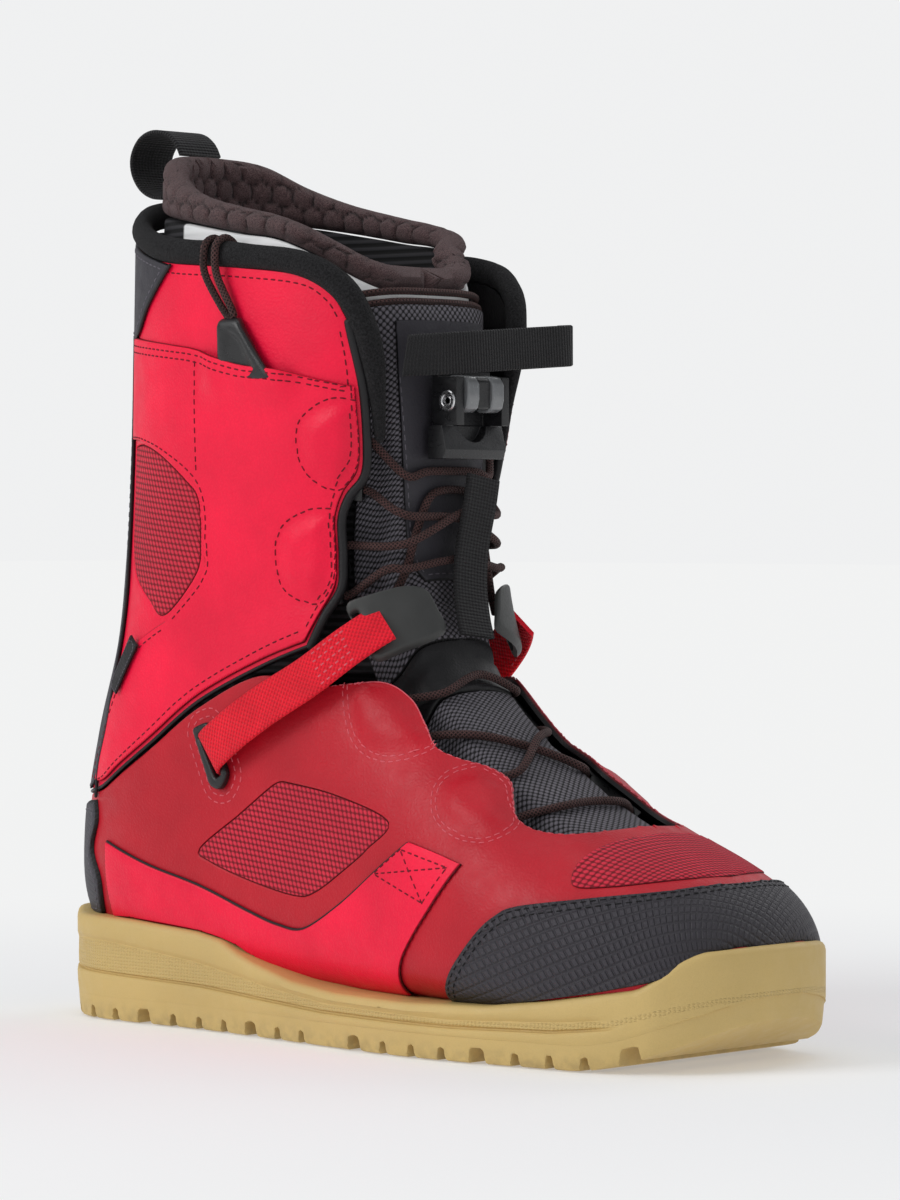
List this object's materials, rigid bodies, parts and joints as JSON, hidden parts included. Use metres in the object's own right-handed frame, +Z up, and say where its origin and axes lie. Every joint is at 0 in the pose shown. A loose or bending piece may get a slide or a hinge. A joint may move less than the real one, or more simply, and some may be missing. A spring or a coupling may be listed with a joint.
{
  "type": "snowboard boot",
  "caption": "Right lace-up snowboard boot with a soft shell, removable liner, lace lock, ankle strap and gum rubber sole; its shaft leans forward.",
  "frame": {"origin": "on the tread plane under the middle of the waist", "axes": "+X to the toe, +Y to the medial side, +Z up"},
  "size_m": [0.301, 0.11, 0.3067],
  "materials": {
    "black_leather": "satin synthetic leather",
    "black_plastic": "satin moulded",
    "black_webbing": "ribbed webbing",
    "board": "pressed fibre",
    "bright_red": "smooth coated leather with a fine grain",
    "brown": "braided cord",
    "dark_red": "smooth coated leather with a fine grain",
    "fleece_black": "brushed knit",
    "fleece_brown": "quilted fleece",
    "foam": "dense foam",
    "guide_plastic": "moulded, slightly glossy",
    "gum": "matt gum rubber",
    "heel_grey": "embossed diamond grain",
    "liner_foam": "foam faced with white cloth",
    "lock_grey": "glossy moulded",
    "plate_grey": "satin moulded rubber-like plastic",
    "red_mesh": "woven ripstop mesh",
    "red_webbing": "coarse woven webbing",
    "steel": "polished steel",
    "toe_grey": "embossed diamond grain",
    "tongue_mesh": "woven mesh",
    "warm_grey": "matt synthetic leather"
  },
  "bodies": {
    "boot": {"outsole": "gum", "midsole": "gum", "heel_cushion": "foam", "lasting_board": "board", "footbed": "foam", "lower_shell": "dark_red", "toe_cap": "toe_grey", "toe_vent": "red_mesh", "rand_lateral": "bright_red", "rand_medial": "bright_red", "side_vent_lateral": "red_mesh", "side_vent_medial": "red_mesh", "heel_counter": "heel_grey", "liner_foot": "liner_foam", "tongue_lower": "tongue_mesh", "tongue_flex": "black_leather", "ankle_strap_lateral": "red_webbing", "ankle_strap_medial": "red_webbing", "strap_keeper_lateral": "black_plastic", "strap_keeper_medial": "black_plastic", "lower_guide_lateral_top": "guide_plastic", "lower_guide_lateral_foot": "guide_plastic", "lower_guide_medial_top": "guide_plastic", "lower_guide_medial_foot": "guide_plastic", "lower_lace": "brown"},
    "cuff": {"cuff_shell": "bright_red", "collar_roll": "fleece_black", "cuff_panel_lateral": "bright_red", "cuff_panel_medial": "bright_red", "rear_vent_lateral": "red_mesh", "rear_vent_medial": "red_mesh", "back_stay": "warm_grey", "back_tab": "black_leather", "side_label": "black_leather", "tongue_upper": "tongue_mesh", "tongue_overlay": "black_leather", "tongue_trim": "brown", "upper_guide_lateral_top": "guide_plastic", "upper_guide_lateral_foot": "guide_plastic", "upper_guide_medial_top": "guide_plastic", "upper_guide_medial_foot": "guide_plastic", "upper_lace": "brown", "plate_lace": "brown", "pull_webbing": "black_webbing", "lock_base": "black_plastic", "lock_pin": "steel", "lock_spring": "steel", "strap_anchor": "black_webbing", "liner_cuff": "liner_foam", "liner_collar": "fleece_brown", "hook_plate_lateral": "plate_grey", "hook_plate_medial": "plate_grey", "puller_cord": "brown"},
    "lever": {"lock_lever": "lock_grey"},
    "puller": {"puller_handle": "black_plastic"},
    "liner_loop": {"liner_pull_loop": "black_webbing"},
    "strap": {"power_strap": "black_webbing"}
  },
  "joints": [
    {"name": "cuff_flex", "type": "hinge", "parent": "boot", "child": "cuff", "pos_m": [-0.04, 0, 0.12], "axis": [0, 1, 0], "range_deg": [0, 8], "stiffness_Nm_per_rad": 20, "deforming": ["tongue_flex", "ankle_strap_lateral", "ankle_strap_medial", "pull_webbing"]},
    {"name": "lock_lever_lift", "type": "hinge", "parent": "cuff", "child": "lever", "pos_m": [0.0196, 0.002, 0.2105], "axis": [0, 1, 0], "range_deg": [0, 50], "stiffness_Nm_per_rad": 0.02},
    {"name": "puller_slide", "type": "slide", "parent": "cuff", "child": "puller", "axis": [0, 0, 1], "range_m": [0, 0.01], "deforming": ["puller_cord"]},
    {"name": "liner_loop_swing", "type": "hinge", "parent": "cuff", "child": "liner_loop", "pos_m": [-0.108, 0, 0.288], "axis": [0, 1, 0], "range_deg": [-14, 14], "stiffness_Nm_per_rad": 0.05},
    {"name": "power_strap_open", "type": "hinge", "parent": "cuff", "child": "strap", "pos_m": [0.029, 0.037, 0.227], "axis": [0, 0, 1], "range_deg": [0, 110]}
  ]
}
